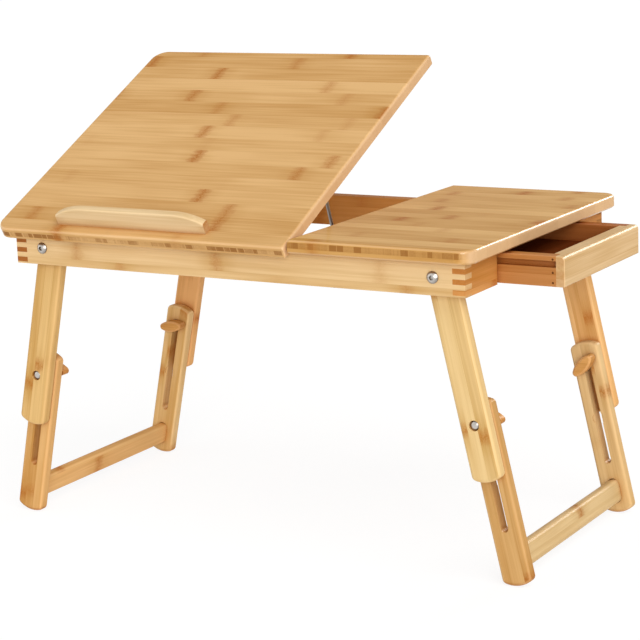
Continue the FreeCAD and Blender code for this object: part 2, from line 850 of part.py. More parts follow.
def side_pins():
    """Pins that fasten one side to the drawer front, flush with the side: one below the
    bottom panel, one just above it and one under the side's upper edge."""
    x = x_drawer_front - drawer_front_thickness + drawer_front_lap - pin_setback
    heights = (
        drawer_bottom_lift / 2,
        drawer_bottom_lift + drawer_bottom_thickness + pin_above_bottom,
        drawer_side_height - pin_below_top,
    )
    return [rod((x, y_drawer, z_drawer + h), (0, 1, 0), pin_length, pin_radius) for h in heights]


def bottom_panel(play):
    """Thin bottom held in grooves all round; play shortens it inside its grooves."""
    x0 = x_drawer_back + drawer_back_thickness - drawer_groove_depth + play
    x1 = x_drawer_front - drawer_front_thickness + drawer_groove_depth - play
    y0 = y_drawer + drawer_side_thickness - drawer_groove_depth + play
    z0 = z_drawer + drawer_bottom_lift
    return box(x0, x1, y0, -y0, z0, z0 + drawer_bottom_thickness)


def drawer_front():
    """Front with rounded edges, rebated behind each end to take the sides."""
    x0 = x_drawer_front - drawer_front_thickness
    front = box(x0, x_drawer_front, y_drawer, -y_drawer, z_drawer, z_drawer_top)
    outer = edges_in_plane(front, "X", x_drawer_front)
    top = [e for e in outer if e.BoundBox.ZMin > z_drawer_top - 1e-3]
    front = front.makeFillet(drawer_front_round, top)
    outer = edges_in_plane(front, "X", x_drawer_front)
    z_round = z_drawer_top - drawer_front_round
    front = front.makeFillet(drawer_arris, [e for e in outer if e.BoundBox.ZMin < z_round - 1e-3])
    rebate = box(
        x0,
        x0 + drawer_front_lap,
        y_drawer,
        y_drawer + drawer_side_thickness,
        z_drawer,
        z_drawer_top,
    )
    front = front.cut(rebate).cut(mirrored(rebate)).cut(bottom_panel(0))
    for pin in side_pins():
        front = front.cut(pin).cut(mirrored(pin))
    return front


def drawer_back():
    y0 = y_drawer + drawer_side_thickness
    x1 = x_drawer_back + drawer_back_thickness
    back = box(x_drawer_back, x1, y0, -y0, z_drawer, z_drawer_top - drawer_arris)
    return back.cut(bottom_panel(0))


# ---------------------------------------------------------------- assembly
def both_ends(make):
    """Front and mirrored back copies of a per-side piece at the left and right."""
    fronts = [make("left"), make("right")]
    return fronts + [mirrored(s) for s in fronts]


def front_and_back(shape):
    return [shape, mirrored(shape)]


knob_turns = {"left": (12.0, -4.5), "right": (10.0, -50.0)}  # front and back knob, degrees


def frame_nodes():
    hinges = hinge_places()
    front = end_block()
    return {
        "front_apron": [front_apron()],
        "back_apron": [mirrored(long_apron())],
        "left_apron": [left_apron()],
        "right_front_end_block": [front],
        "right_back_end_block": [mirrored(front)],
        "fixed_top": [fixed_top()],
        "middle_rail": [middle_rail()],
        "prop_rail": [prop_rail()],
        "front_drawer_runner": [drawer_runner()],
        "back_drawer_runner": [mirrored(drawer_runner())],
        "pivot_bolts": both_ends(pivot_bolt),
        "pivot_washers": both_ends(pivot_washer),
        "pivot_nuts": both_ends(pivot_nut),
        "frame_hinge_leaves": [hinge_leaf(x0, "frame") for x0 in hinges],
        "hinge_pins": [hinge_pin(x0) for x0 in hinges],
    }


def panel_nodes():
    clips = (
        x_prop[0] + clip_inset,
        x_prop[1] - clip_inset,
    )
    return {
        "tilting_top": [tilting_top()],
        "book_ledge": [book_ledge()],
        "panel_hinge_leaves": [raised(hinge_leaf(x0, "panel")) for x0 in hinge_places()],
        "prop_clips": [prop_clip(x) for x in clips],
        "wire_prop": [wire_prop()],
    }


def leg_nodes(side):
    upper = on_leg(upper_leg(), side)
    lower = on_leg(lower_leg(), side)
    front_turn, back_turn = knob_turns[side]
    return {
        side + "_front_upper_leg": [upper],
        side + "_back_upper_leg": [mirrored(upper)],
        side + "_clamp_bolts": front_and_back(on_leg(clamp_bolt(), side)),
        side + "_clamp_washers": front_and_back(on_leg(clamp_washer(), side)),
        side + "_front_lower_leg": [lower],
        side + "_back_lower_leg": [mirrored(lower)],
        side + "_stretcher": [on_leg(stretcher(), side)],
        side + "_front_knob": [placed_knob(side, front_turn)],
        side + "_back_knob": [mirrored(placed_knob(side, back_turn))],
    }


def drawer_nodes():
    side = drawer_side()
    pins = side_pins()
    return {
        "drawer_front": [drawer_front()],
        "drawer_front_side": [side],
        "drawer_back_side": [mirrored(side)],
        "drawer_back": [drawer_back()],
        "drawer_bottom": [bottom_panel(drawer_play / 2)],
        "drawer_pins": pins + [mirrored(pin) for pin in pins],
    }


def export(name, solids):
    shape = solids[0] if len(solids) == 1 else Part.makeCompound(solids)
    if not shape.isValid() or min(s.Volume for s in solids) <= 0:
        raise ValueError(name + " is not a valid solid")
    shape.exportStep(os.path.join("parts", name + ".step"))


def main():
    nodes = {}
    nodes.update(frame_nodes())
    nodes.update(panel_nodes())
    nodes.update(leg_nodes("left"))
    nodes.update(leg_nodes("right"))
    nodes.update(drawer_nodes())
    for name, solids in nodes.items():
        export(name, solids)
    print(len(nodes), "nodes")
    print("left end of the top at x", round(x_left, 3), "foot reach", round(foot_reach, 3))
    print("prop pivot y, z, length, lean", [round(v, 4) for v in prop_line()])


main()
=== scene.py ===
"""Looks of the folding bamboo laptop stand: studio stage, camera and procedural materials
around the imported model. Metres, in the model's own frame: +X right, +Y back, +Z up.
"""
import json
import math

import bmesh
import bpy
from mathutils import Matrix, Vector


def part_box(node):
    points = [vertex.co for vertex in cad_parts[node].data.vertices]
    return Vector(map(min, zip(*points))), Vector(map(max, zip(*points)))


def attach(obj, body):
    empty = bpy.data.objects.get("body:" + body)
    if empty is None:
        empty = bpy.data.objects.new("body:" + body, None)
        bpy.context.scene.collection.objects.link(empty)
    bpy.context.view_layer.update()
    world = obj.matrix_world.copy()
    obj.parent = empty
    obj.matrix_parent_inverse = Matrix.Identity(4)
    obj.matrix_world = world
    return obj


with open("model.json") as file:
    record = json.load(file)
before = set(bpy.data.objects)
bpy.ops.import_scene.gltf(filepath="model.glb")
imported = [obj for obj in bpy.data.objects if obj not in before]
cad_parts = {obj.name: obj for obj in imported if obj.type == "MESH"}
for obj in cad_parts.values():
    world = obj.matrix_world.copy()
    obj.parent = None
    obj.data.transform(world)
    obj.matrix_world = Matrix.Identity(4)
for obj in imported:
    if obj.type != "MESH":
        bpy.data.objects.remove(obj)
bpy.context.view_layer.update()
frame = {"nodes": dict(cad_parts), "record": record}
nodes = frame["nodes"]

# ---------------------------------------------------------------- camera
CAMERA_PLACE = (0.9882, -1.6230, 0.6125)
CAMERA_AZIMUTH = 31.376  # degrees from the front towards the right
CAMERA_ELEVATION = 12.499
CAMERA_ROLL = -2.385
CAMERA_LENS = 114.56  # mm
CAMERA_SENSOR = 36.0
CAMERA_REACH = 50.0

# ---------------------------------------------------------------- object angles
joints = frame["record"]["behaviour"]["joints"]
joint_ranges = {j["name"]: j.get("range_deg") for j in joints}
joint_places = {j["name"]: Vector(j["pos_m"]) for j in joints if j.get("pos_m")}
PANEL_TILT = math.radians(-joint_ranges["panel_tilt"][0])
LEG_SPLAY = math.radians(joint_ranges["left_leg_fold"][1] - 90.0)

AXIS_X = Vector((1, 0, 0))
AXIS_Y = Vector((0, 1, 0))
AXIS_Z = Vector((0, 0, 1))


def srgb(red, green, blue):
    """Linear colour with alpha from 0-255 display values."""
    channels = [c / 255 for c in (red, green, blue)]
    linear = [c / 12.92 if c <= 0.04045 else ((c + 0.055) / 1.055) ** 2.4 for c in channels]
    return (*linear, 1.0)


def direction(azimuth, elevation):
    """Unit vector towards an azimuth from the front towards the right, and an elevation,
    both in radians."""
    return Vector(
        (
            math.sin(azimuth) * math.cos(elevation),
            -math.cos(azimuth) * math.cos(elevation),
            math.sin(elevation),
        )
    )


# ---------------------------------------------------------------- shader graph helper
class Graph:
    """Adds nodes to one shader tree and links them as they are made."""

    def __init__(self, tree):
        self.tree = tree

    def node(self, kind, **settings):
        made = self.tree.nodes.new(kind)
        for name, value in settings.items():
            setattr(made, name, value)
        return made

    def feed(self, socket, value):
        """Link an output to the socket, or write a plain value into it."""
        if isinstance(value, bpy.types.NodeSocket):
            self.tree.links.new(value, socket)
        elif value is not None:
            fits_vector = socket.type == "VECTOR" and len(value) == 4
            socket.default_value = value[:3] if fits_vector else value

    def math(self, operation, a, b=None, c=None, clamp=False):
        made = self.node("ShaderNodeMath", operation=operation, use_clamp=clamp)
        for socket, value in zip(made.inputs, (a, b, c)):
            self.feed(socket, value)
        return made.outputs[0]

    def times(self, a, b):
        return self.math("MULTIPLY", a, b)

    def swing(self, value, amount, base=0.0):
        """base, plus amount times how far a 0 to 1 value is from its middle."""
        return self.math("MULTIPLY_ADD", self.math("SUBTRACT", value, 0.5), amount, base)

    def vector(self, operation, a, b=None):
        made = self.node("ShaderNodeVectorMath", operation=operation)
        self.feed(made.inputs[0], a)
        self.feed(made.inputs[1], b)
        return made.outputs["Value" if operation == "DOT_PRODUCT" else "Vector"]

    def combine(self, x, y, z):
        made = self.node("ShaderNodeCombineXYZ")
        for socket, value in zip(made.inputs, (x, y, z)):
            self.feed(socket, value)
        return made.outputs[0]

    def ramp(self, value, low, high, out_low=0.0, out_high=1.0):
        """Smooth step of value from low to high."""
        made = self.node("ShaderNodeMapRange", interpolation_type="SMOOTHSTEP")
        for socket, given in zip(made.inputs, (value, low, high, out_low, out_high)):
            self.feed(socket, given)
        return made.outputs[0]

    def noise(self, vector, scale, detail=2.0, roughness=0.5):
        made = self.node("ShaderNodeTexNoise", noise_dimensions="3D")
        self.feed(made.inputs["Vector"], vector)
        made.inputs["Scale"].default_value = scale
        made.inputs["Detail"].default_value = detail
        made.inputs["Roughness"].default_value = roughness
        return made.outputs["Fac"]

    def long_noise(self, x, share, y, z, scale, detail=2.0):
        """Noise drawn out along x, which counts for only a share of its length."""
        return self.noise(self.combine(self.times(x, share), y, z), scale, detail)

    def random(self, x, y=0.0, z=0.0):
        """Repeatable random number from up to three whole numbers."""
        made = self.node("ShaderNodeTexWhiteNoise", noise_dimensions="3D")
        self.feed(made.inputs["Vector"], self.combine(x, y, z))
        return made.outputs["Value"]

    def mix(self, factor, a, b):
        """a where factor is 0 and b where it is 1. Sockets 6 and 7 are the node's colours."""
        made = self.node("ShaderNodeMix", data_type="RGBA")
        self.feed(made.inputs["Factor"], factor)
        self.feed(made.inputs[6], a)
        self.feed(made.inputs[7], b)
        return made.outputs[2]

    def crevice(self, distance, begins, full, most):
        """Shade where another surface stands within a distance, from 0 up to most. It begins
        and is full at these shares of open space."""
        near = self.node("ShaderNodeAmbientOcclusion", samples=6)
        near.inputs["Distance"].default_value = distance
        return self.ramp(near.outputs["AO"], begins, full, 0.0, most)


def new_material(name):
    """(material, graph, its principled shader)"""
    material = bpy.data.materials.new(name)
    material.use_nodes = True
    tree = material.node_tree
    return material, Graph(tree), tree.nodes["Principled BSDF"]


def tinted(color, gains):
    """A colour with each channel multiplied by its gain."""
    return (*(channel * gain for channel, gain in zip(color, gains)), 1.0)


# ---------------------------------------------------------------- bamboo
# A seed only picks which pattern a piece gets. Pairs for a ramp say where an effect begins
# and where it is full.
STRIP_WIDTH = 0.0205  # flat bamboo strips that the boards are glued up from
LEG_STRIP = 0.0096
KNOB_STRIP = 0.009
CORE_STRIP = 0.0078  # crossed strips of a board's core ply
ROW_SHIFT = 3.37  # strips by which each step of the seed moves the rows

# Joints of the cane
NODE_SPACING = 0.155  # from one to the next along a strip
NODE_STAGGER = 9.0  # spacings by which the strips' joints are set apart
NODE_SCATTER = 0.5  # share of a spacing in which a joint may lie
NODE_RAGGED = 0.011  # how far a joint's edges wander
NODE_RAGGED_SHARE = 0.3
NODE_RAGGED_SCALE = 420.0
NODE_BAND = (0.0095, 0.003)  # the brown band, by the distance from the joint
NODE_LINE = (0.0032, 0.0004)  # the darker line in its middle
NODE_HALO = (0.026, 0.004)  # the deeper wood around it
NODE_VISIBLE = (0.1, 0.8)  # a joint's random strength
BAND_DARKNESS = 0.62
LINE_DARKNESS = 0.35
HALO_DEPTH = 0.3
FLECK_SCALE = 800.0
FLECKS = (0.2, 0.65)
FLECK_SHARE = 0.5

# Long grain, from fibres through streaks to clouds: (share of the length that counts,
# scale, detail, effect on the depth of colour)
GRAIN_LAYERS = ((0.012, 1400.0, 2.0, 0.55), (0.03, 300.0, 2.0, 1.0), (0.4, 24.0, 1.0, 0.9))
GRAIN_SHIFT = 3.0  # metres between the grain of one strip and another's
GLUE_LINE = (0.00042, 0.00008)
GLUE_DEPTH = 0.5

# End grain
END_UNEVEN = 1.3  # strips by which the blocks' edges stray
END_UNEVEN_SCALE = 0.9
END_EDGE = 0.07  # share of a block that stays pale at each side
END_DARK = (0.3, 0.95)  # a block's random strength
END_DARK_DEPTH = 0.9
END_INNER_BLOCKS = 3.0  # to one block
END_INNER_DEPTH = 0.35
END_DOT_SHARE = 0.1
END_DOT_SCALE = 1500.0
END_DOT_DEPTH = 0.8
END_FACING = (0.6, 0.9)  # how squarely a face looks along the fibres
END_GAIN, END_LEAST = 0.8, 0.3

# Core ply in a board's long edges
CORE_BLUR = 0.0002
CORE_FACING = (0.3, 0.75)
CORE_MOST = 0.9

# Arrises: a painted highlight in a paler colour, and lacquer that gathers on them
ARRIS_FACING = (0.97, 0.8)
ARRIS_HIGHLIGHT_SHARE = 0.3  # painted highlight: how far they are paler than the faces
# the painted highlight's colour: the tone times a gain, plus a lift
HIGHLIGHT_GAIN, HIGHLIGHT_LIFT = 1.25, 0.1
ARRIS_COAT = 0.85  # lacquer gathers on the boards' rounded edges

# Tints of a piece's own tone
PALE_TINT = (1.10, 1.15, 1.26)
DEEP_TINT = (0.80, 0.70, 0.52)
BROWN_TINT = (0.62, 0.33, 0.12)
SMOKY_TINT = (0.47, 0.33, 0.2)
DEPTH_MIDDLE = 0.36  # how deep a piece's tone is on the way from pale to deep
END_COLOR_SHARE = 0.7

COAT = 0.14
COAT_ROUGHNESS = 0.18
WOOD_ROUGHNESS, FIBRE_ROUGHNESS = 0.42, 0.14
# Painted shade where another surface stands close
WOOD_CREVICE_SHADE = {"distance": 0.008, "begins": 0.85, "full": 0.3, "most": 0.7}
BUMP_STRENGTH = 0.12
BUMP_DISTANCE = 0.0002
MARK_BUMP = 0.5


def strip_rows(graph, y, seed, strip):
    """(row number, place inside the row from 0 to 1) of strips laid side by side."""
    place = graph.math("ADD", graph.math("DIVIDE", y, strip), seed * ROW_SHIFT)
    return graph.math("FLOOR", place), graph.math("FRACT", place)


def node_marks(graph, x, y, z, row, own, seed):
    """Brown joints of the cane: each strip has its own, some bold and some hardly there.
    Returns how dark each point is and how near a joint it lies, both 0 to 1."""
    stagger = graph.times(own, NODE_STAGGER)
    along = graph.math("ADD", graph.math("DIVIDE", x, NODE_SPACING), stagger)
    cell = graph.math("FLOOR", along)
    place = graph.random(row, cell, seed + 4.0)
    strength = graph.random(row, cell, seed + 8.0)
    offset = graph.swing(place, NODE_SCATTER, 0.5)
    from_mark = graph.math("SUBTRACT", graph.math("FRACT", along), offset)
    from_mark = graph.times(from_mark, NODE_SPACING)
    ragged = graph.long_noise(x, NODE_RAGGED_SHARE, y, z, NODE_RAGGED_SCALE, detail=3.0)
    wobble = graph.swing(ragged, NODE_RAGGED)
    bent = graph.math("ABSOLUTE", graph.math("ADD", from_mark, wobble))
    band = graph.ramp(bent, *NODE_BAND)
    line = graph.ramp(bent, *NODE_LINE)
    halo = graph.ramp(graph.math("ABSOLUTE", from_mark), *NODE_HALO)
    visible = graph.ramp(strength, *NODE_VISIBLE)
    flecks = graph.noise(graph.combine(x, y, z), FLECK_SCALE, detail=1.0)
    flecks = graph.ramp(flecks, *FLECKS)
    mark = graph.math("MULTIPLY_ADD", line, LINE_DARKNESS, graph.times(band, BAND_DARKNESS))
    flecked = graph.math("MULTIPLY_ADD", flecks, FLECK_SHARE, 1.0 - FLECK_SHARE)
    mark = graph.math("MULTIPLY", graph.times(mark, flecked), visible, clamp=True)
    return mark, graph.times(halo, visible)


def cane_grain(graph, x, y, z, seed, strip, contrast):
    """Long grain of strips laid side by side. x runs along the fibres, y across the strips
    and z through them. Returns (depth of colour about 0, joints 0 to 1, fibre 0 to 1)."""
    row, across = strip_rows(graph, y, seed, strip)
    own = graph.random(row, seed)
    mark, halo = node_marks(graph, x, y, z, row, own, seed)
    shifted = graph.math("ADD", x, graph.times(own, GRAIN_SHIFT))
    layers = []
    depth = 0.0
    for share, scale, detail, effect in GRAIN_LAYERS:
        layers.append(graph.long_noise(shifted, share, y, z, scale, detail))
        depth = graph.swing(layers[-1], effect, depth)
    to_edge = graph.math("MINIMUM", across, graph.math("SUBTRACT", 1.0, across))
    glue = graph.ramp(graph.times(to_edge, strip), *GLUE_LINE)
    depth = graph.swing(own, contrast, depth)
    depth = graph.math("MULTIPLY_ADD", glue, graph.times(own, GLUE_DEPTH), depth)
    return graph.math("MULTIPLY_ADD", halo, HALO_DEPTH, depth), mark, layers[0]


def end_grain(graph, x, y, z, seed, block):
    """Cut ends of strips: blocks side by side, some dark with packed fibres, between pale
    edges. Returns how dark each point is, 0 to 1."""
    uneven = graph.noise(graph.combine(0.0, y, 0.0), END_UNEVEN_SCALE / block, detail=0.0)
    y = graph.math("MULTIPLY_ADD", uneven, block * END_UNEVEN, y)
    cell, across = strip_rows(graph, y, seed, block)
    own = graph.random(cell, seed + 2.0)
    edge = graph.times(
        graph.ramp(across, 0.0, END_EDGE), graph.ramp(across, 1.0, 1.0 - END_EDGE)
    )
    inner_cell, _ = strip_rows(graph, y, seed, block / END_INNER_BLOCKS)
    inner = graph.random(inner_cell, seed + 6.0)
    dots = graph.long_noise(x, END_DOT_SHARE, y, z, END_DOT_SCALE)
    dark = graph.times(graph.ramp(own, *END_DARK), END_DARK_DEPTH)
    dark = graph.math("MULTIPLY_ADD", inner, END_INNER_DEPTH, dark)
    dark = graph.swing(dots, END_DOT_DEPTH, dark)
    return graph.math("MULTIPLY", dark, edge, clamp=True)


def local_axes(graph, output, along, across, origin):
    """A coordinate or a normal, seen in the piece's own axes."""
    if origin is not None:
        output = graph.vector("SUBTRACT", output, tuple(origin))
    through = along.cross(across)
    return [graph.vector("DOT_PRODUCT", output, tuple(axis)) for axis in (along, across, through)]


def core_darkness(graph, x, y, z, ny, seed, core):
    """Ends of the crossed core strips, where they show in a board's long edges."""
    height, half, least = core
    from_middle = graph.math("ABSOLUTE", graph.math("SUBTRACT", z, height))
    inside = graph.ramp(from_middle, half + CORE_BLUR, half - CORE_BLUR)
    facing = graph.ramp(graph.math("ABSOLUTE", ny), *CORE_FACING)
    ends = end_grain(graph, y, x, z, seed + 11.0, CORE_STRIP)
    ends = graph.math("MULTIPLY_ADD", ends, CORE_MOST - least, least)
    return graph.times(graph.times(ends, facing), inside)


def edge_light(graph, nx, ny, nz):
    """Where a rounded or bevelled arris turns between two faces, 0 to 1."""
    steepest = graph.math("MAXIMUM", graph.math("ABSOLUTE", nx), graph.math("ABSOLUTE", ny))
    steepest = graph.math("MAXIMUM", steepest, graph.math("ABSOLUTE", nz))
    return graph.ramp(steepest, *ARRIS_FACING)


def bamboo(
    name,
    along,
    across,
    color,
    seed,
    origin,
    strip=STRIP_WIDTH,
    core=None,
    mark_strength=0.85,
    end_darkness=0.3,
    contrast=0.6,
    arris_coat=0.08,
    end_color=None,
):
    """Lacquered bamboo whose fibres run along one axis and whose strips lie side by side
    across another. core is the (height, half thickness, least darkness) of a crossed middle
    ply, contrast how far one strip's colour differs from the next."""
    material, graph, shader = new_material(name)
    coordinates = graph.node("ShaderNodeTexCoord")
    x, y, z = local_axes(graph, coordinates.outputs["Object"], along, across, origin)
    nx, ny, nz = local_axes(graph, coordinates.outputs["Normal"], along, across, None)
    depth, mark, fibre = cane_grain(graph, x, y, z, seed, strip, contrast)
    arris = edge_light(graph, nx, ny, nz)

    end_facing = graph.ramp(graph.math("ABSOLUTE", nx), *END_FACING)
    ends = end_grain(graph, x, y, z, seed, strip)
    mark = graph.times(mark, graph.math("SUBTRACT", 1.0, end_facing))
    dark_end = graph.math("MULTIPLY_ADD", ends, END_GAIN, END_LEAST)
    dark_end = graph.times(graph.times(dark_end, end_facing), end_darkness)
    dark = graph.math("MAXIMUM", graph.times(mark, mark_strength), dark_end)
    # Painted shade in crevices and between parts, mixed towards brown with the joints' marks
    dark = graph.math("MAXIMUM", dark, graph.crevice(**WOOD_CREVICE_SHADE))

    shade = graph.math("ADD", depth, DEPTH_MIDDLE, clamp=True)
    surface = graph.mix(shade, tinted(color, PALE_TINT), tinted(color, DEEP_TINT))
    if core:
        in_core = core_darkness(graph, x, y, z, ny, seed, core)
        surface = graph.mix(in_core, surface, tinted(color, SMOKY_TINT))
    surface = graph.mix(dark, surface, tinted(color, BROWN_TINT))
    # Painted highlight: arrises turn towards a paler colour
    painted_highlight = (*(min(1.0, c * HIGHLIGHT_GAIN + HIGHLIGHT_LIFT) for c in color[:3]), 1.0)
    surface = graph.mix(graph.times(arris, ARRIS_HIGHLIGHT_SHARE), surface, painted_highlight)
    if end_color:
        surface = graph.mix(graph.times(end_facing, END_COLOR_SHARE), surface, end_color)
    graph.feed(shader.inputs["Base Color"], surface)

    rough = graph.math("MULTIPLY_ADD", fibre, FIBRE_ROUGHNESS, WOOD_ROUGHNESS)
    graph.feed(shader.inputs["Roughness"], rough)
    shader.inputs["Specular IOR Level"].default_value = 0.0  # all the shine is the coat's
    coat = graph.math("MULTIPLY_ADD", arris, arris_coat, COAT)
    graph.feed(shader.inputs["Coat Weight"], coat)
    shader.inputs["Coat Roughness"].default_value = COAT_ROUGHNESS
    bump = graph.node("ShaderNodeBump")
    bump.inputs["Strength"].default_value = BUMP_STRENGTH
    bump.inputs["Distance"].default_value = BUMP_DISTANCE
    relief = graph.math("SUBTRACT", fibre, graph.times(dark, MARK_BUMP))
    graph.feed(bump.inputs["Height"], relief)
    graph.feed(shader.inputs["Normal"], bump.outputs[0])
    return material


# ---------------------------------------------------------------- metal
POLISH_SCALE = 900.0
STAIN_SCALE = 150.0
STAIN = (0.35, 0.75)
STAIN_TONE = 0.82
RIM_FACING = (0.6, 0.98)  # how squarely a face looks along Y, as the bolts' heads do; faces that turn away take painted shade
POLISH_ROUGHNESS = 0.16
# Painted shade in the metal's crevices, and its colour
METAL_CREVICE_SHADE = {"distance": 0.003, "begins": 0.75, "full": 0.25, "most": 0.85}
CREVICE_SHADE_COLOR = srgb(40, 36, 32)


def metal(name, color, rim_shade, roughness):
    """Plated steel with faint uneven polish, a darker colour painted as shade where a head
    turns down to the wood, and painted shade in its crevices."""
    material, graph, shader = new_material(name)
    shader.inputs["Metallic"].default_value = 1.0
    coordinates = graph.node("ShaderNodeTexCoord")
    point = coordinates.outputs["Object"]
    facing = graph.vector("DOT_PRODUCT", coordinates.outputs["Normal"], tuple(AXIS_Y))
    facing = graph.math("ABSOLUTE", facing)
    stain = graph.ramp(graph.noise(point, STAIN_SCALE), *STAIN)
    stain_and_rim_shade = graph.mix(stain, color, tinted(color, (STAIN_TONE,) * 3))
    # Painted shade where a head turns away from Y, down to the wood
    stain_and_rim_shade = graph.mix(graph.ramp(facing, *RIM_FACING), rim_shade, stain_and_rim_shade)
    # Painted shade in the crevices
    surface = graph.mix(graph.crevice(**METAL_CREVICE_SHADE), stain_and_rim_shade, CREVICE_SHADE_COLOR)
    graph.feed(shader.inputs["Base Color"], surface)
    polish = graph.noise(point, POLISH_SCALE, detail=3.0)
    rough = graph.math("MULTIPLY_ADD", polish, POLISH_ROUGHNESS, roughness)
    graph.feed(shader.inputs["Roughness"], rough)
    return material


def paint(names, material):
    for name in names:
        for slot in nodes[name].material_slots:
            slot.material = material


# ---------------------------------------------------------------- tones
# Each piece's tone, in 0-255 display values. The pieces that stand in shade under the tops and
# inside the drawer (back apron, end blocks, rails, runners, and the drawer's sides, back and
# bottom) have deeper, more orange tones than their wood: painted shade
TONES_AND_SHADE = {
    "tilting_top": (213, 168, 109),
    "fixed_top": (213, 166, 101),
    "book_ledge": (220, 188, 139),
    "front_apron": (226, 189, 134),
    "back_apron": (182, 123, 62),
    "left_apron": (196, 142, 84),
    "right_front_end_block": (208, 144, 77),
    "right_back_end_block": (200, 134, 68),
    "middle_rail": (160, 98, 46),
    "prop_rail": (160, 98, 46),
    "front_drawer_runner": (184, 122, 64),
    "back_drawer_runner": (184, 122, 64),
    "drawer_front": (218, 183, 134),
    "drawer_back": (170, 104, 50),
    "drawer_front_side": (183, 122, 66),
    "drawer_back_side": (160, 94, 46),
    "drawer_bottom": (112, 52, 20),
    "left_front_upper_leg": (216, 175, 111),
    "left_front_lower_leg": (215, 166, 103),
    "left_back_upper_leg": (224, 166, 102),
    "left_back_lower_leg": (228, 189, 131),
    "right_front_upper_leg": (223, 188, 128),
    "right_front_lower_leg": (207, 162, 102),
    "right_back_upper_leg": (229, 178, 115),
    "right_back_lower_leg": (213, 175, 119),
    "left_stretcher": (234, 185, 121),
    "right_stretcher": (208, 175, 122),
    "knob": (209, 153, 86),
}
STEEL = srgb(205, 200, 194)
# Painted shade on the bolts' heads where they turn down to the wood
STEEL_RIM_SHADE = srgb(88, 68, 44)
# The washers' darker olive-grey is painted shade under the heads
SHADED_WASHER_STEEL = srgb(138, 128, 108)
DULL_STEEL = srgb(150, 147, 143)
PIN_BROWN = srgb(110, 66, 34)
# Core ply: height over the board's middle, half thickness, least darkness of its blocks
FIXED_CORE = (0.0013, 0.0026, 0.28)
PANEL_CORE = (0.0, 0.0023, 0.05)
BOARD_FINISH = {"end_darkness": 0.1, "arris_coat": ARRIS_COAT, "end_color": srgb(222, 184, 142)}

panel_across = Vector((0, math.cos(PANEL_TILT), math.sin(PANEL_TILT)))


def leg_axes(side):
    """(down the leg, across its width) for a leg that splays outward."""
    out = -1 if side == "left" else 1
    down = Vector((out * math.sin(LEG_SPLAY), 0, -math.cos(LEG_SPLAY)))
    return down, down.cross(AXIS_Y)


def middle(node):
    """Middle of a node's box at rest."""
    low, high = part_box(node)
    return (low + high) / 2


def dress(name, along, across, seed, tone=None, **finish):
    """Give a node bamboo of its listed tone, painted shade included for pieces that stand in
    shade, with its grain laid out from its own middle.
    """
    color = srgb(*TONES_AND_SHADE[tone or name])
    paint([name], bamboo(name + "_bamboo", along, across, color, seed, middle(name), **finish))


def paint_boards():
    dress("fixed_top", AXIS_X, AXIS_Y, 3.0, core=FIXED_CORE, contrast=0.9, **BOARD_FINISH)
    dress("tilting_top", AXIS_X, panel_across, 5.0, core=PANEL_CORE, **BOARD_FINISH)
    # The ledge's end faces are darkened in full: partly end grain, partly painted shade
    dress("book_ledge", AXIS_X, panel_across.cross(AXIS_X), 8.0, end_darkness=1.0)


def paint_frame():
    for seed, name in enumerate(("front_apron", "back_apron"), 20):
        dress(name, AXIS_X, AXIS_Z, seed, mark_strength=0.5)
    dress("left_apron", AXIS_Y, AXIS_Z, 30, end_darkness=0.7)
    for seed, name in enumerate(("right_front_end_block", "right_back_end_block"), 31):
        dress(name, AXIS_Y, AXIS_Z, seed)
    for seed, name in enumerate(("middle_rail", "prop_rail"), 40):
        dress(name, AXIS_Y, AXIS_X, seed)
    for seed, name in enumerate(("front_drawer_runner", "back_drawer_runner"), 50):
        dress(name, AXIS_X, AXIS_Z, seed)


def paint_legs():
    seed = 60
    for side in ("left", "right"):
        down, across = leg_axes(side)
        for end in ("front", "back"):
            for part in ("upper", "lower"):
                even = (part, end) == ("upper", "front")
                finish = {"strip": LEG_STRIP, "contrast": 0.45 if even else 1.0}
                dress(f"{side}_{end}_{part}_leg", down, across, seed, **finish)
                seed += 1
            dress(f"{side}_{end}_knob", AXIS_X, AXIS_Z, seed, "knob", strip=KNOB_STRIP)
            seed += 1
        dress(side + "_stretcher", AXIS_Y, down, seed)
        seed += 1


def paint_drawer():
    dress("drawer_front", AXIS_Y, AXIS_Z, 90, arris_coat=0.3)
    dress("drawer_back", AXIS_Y, AXIS_Z, 91)
    for seed, name in enumerate(("drawer_front_side", "drawer_back_side"), 95):
        dress(name, AXIS_X, AXIS_Z, seed)
    dress("drawer_bottom", AXIS_Y, AXIS_X, 99)


# ---------------------------------------------------------------- screws
HEAD_SIDES = 32
# The head's outline from its rim to its middle, as shares of the radius and the rise
HEAD_PROFILE = ((1.0, 0.0), (0.98, 0.4), (0.84, 0.75), (0.62, 0.94), (0.4, 1.0), (0.16, 1.0))
CROSS_REACH = 0.62  # how far the driver's cross runs out, as a share of the radius
CROSS_DEPTH = 0.8  # as a share of the head's height
CROSS_ARMS = 4
HINGE_LENGTH = 0.040
HINGE_HEAD = (0.0026, 0.00012)  # radius and rise of a head sunk nearly flush
HINGE_ROW = 0.0078  # from the hinge's pin to its screws
HINGE_GAP = 0.00015  # from the pin's height to each leaf's face
# Places along a hinge of its screws in the frame's leaf and the panel's: they are staggered,
# so that the heads pass each other when the panel lies flat
HINGE_PLACES = ((0.22, 0.08), (0.5, 0.36), (0.78, 0.64))
CLIP_HEAD = (0.0021, 0.0011)
CLIP_WIDTH = 0.010
CLIP_ROW = 0.0061  # from the wire to the screw on each side
CLIP_SEAT = 0.0019  # from the wire's middle up to the underside of the clip's flange


